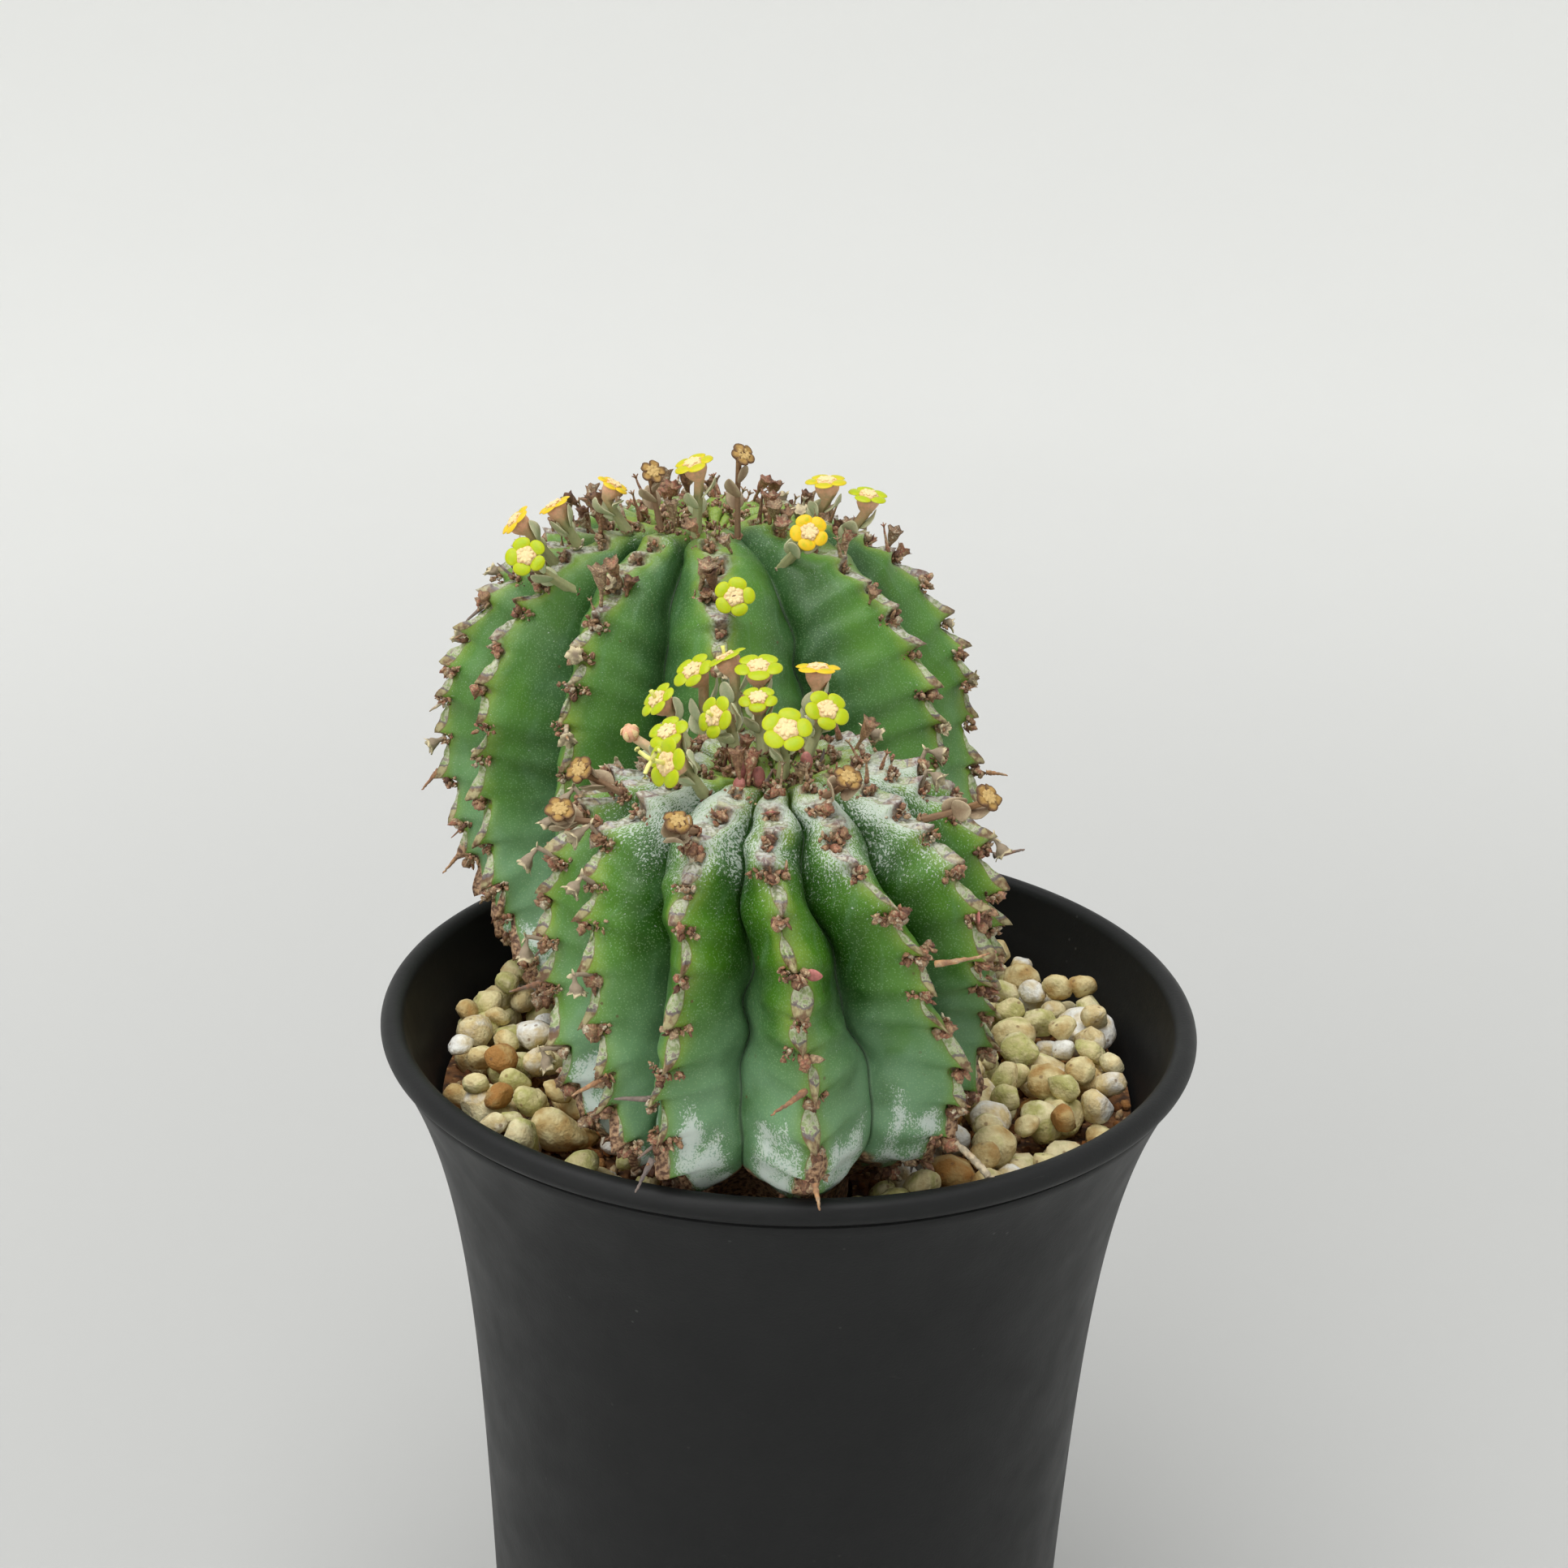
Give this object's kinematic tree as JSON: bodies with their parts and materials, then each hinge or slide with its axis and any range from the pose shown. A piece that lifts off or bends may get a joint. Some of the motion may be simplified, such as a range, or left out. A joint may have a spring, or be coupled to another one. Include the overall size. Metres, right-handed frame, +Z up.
{
  "type": "potted african milk barrel",
  "caption": "Potted succulent: ribbed barrel stems with toothed crests, small yellow flowers and dry flower stalks, in a flared round plastic pot of gravelly soil.",
  "frame": {"origin": "centre of the pot's flat underside", "axes": "+Z up along the pot's axis; -Y is the front, where the smaller stem stands; +X is to the right seen from the front"},
  "size_m": [0.0898, 0.107, 0.1675],
  "materials": {
    "pot_plastic": "matte, lightly scuffed",
    "soil": "loose gravelly mix",
    "stem_skin": "waxy satin skin with a pale bloom",
    "gravel": "matte",
    "flower": "satin",
    "dry_flower": "matte, crumpled",
    "dry_stalk": "matte"
  },
  "bodies": {
    "root": {"pot": "pot_plastic", "soil": "soil", "main_stem": "stem_skin", "front_stem": "stem_skin", "pebble_01": "gravel", "pebble_02": "gravel", "pebble_03": "gravel", "pebble_04": "gravel", "pebble_05": "gravel", "pebble_06": "gravel", "pebble_07": "gravel", "pebble_08": "gravel", "pebble_09": "gravel", "pebble_10": "gravel", "pebble_11": "gravel", "pebble_12": "gravel", "pebble_13": "gravel", "pebble_14": "gravel", "pebble_15": "gravel", "pebble_16": "gravel", "pebble_17": "gravel", "pebble_18": "gravel", "front_flower_01": "flower", "front_flower_02": "flower", "front_flower_03": "flower", "front_flower_04": "flower", "front_flower_05": "flower", "front_flower_06": "flower", "front_flower_07": "flower", "front_flower_08": "flower", "front_flower_09": "flower", "front_flower_10": "flower", "front_flower_11": "flower", "front_flower_12": "flower", "main_flower_01": "flower", "main_flower_02": "flower", "main_flower_03": "flower", "main_flower_04": "flower", "main_flower_05": "flower", "main_flower_06": "flower", "main_flower_07": "flower", "main_flower_08": "flower", "main_flower_09": "flower", "front_dry_flower_01": "dry_flower", "front_dry_flower_02": "dry_flower", "front_dry_flower_03": "dry_flower", "front_dry_flower_04": "dry_flower", "front_dry_flower_05": "dry_flower", "main_dry_flower_01": "dry_flower", "main_dry_flower_02": "dry_flower", "front_stalk_01": "dry_stalk", "front_stalk_02": "dry_stalk", "front_stalk_03": "dry_stalk", "front_stalk_04": "dry_stalk", "front_stalk_05": "dry_stalk", "front_stalk_06": "dry_stalk", "front_stalk_07": "dry_stalk", "main_stalk_01": "dry_stalk", "main_stalk_02": "dry_stalk", "main_stalk_03": "dry_stalk"}
  },
  "joints": []
}
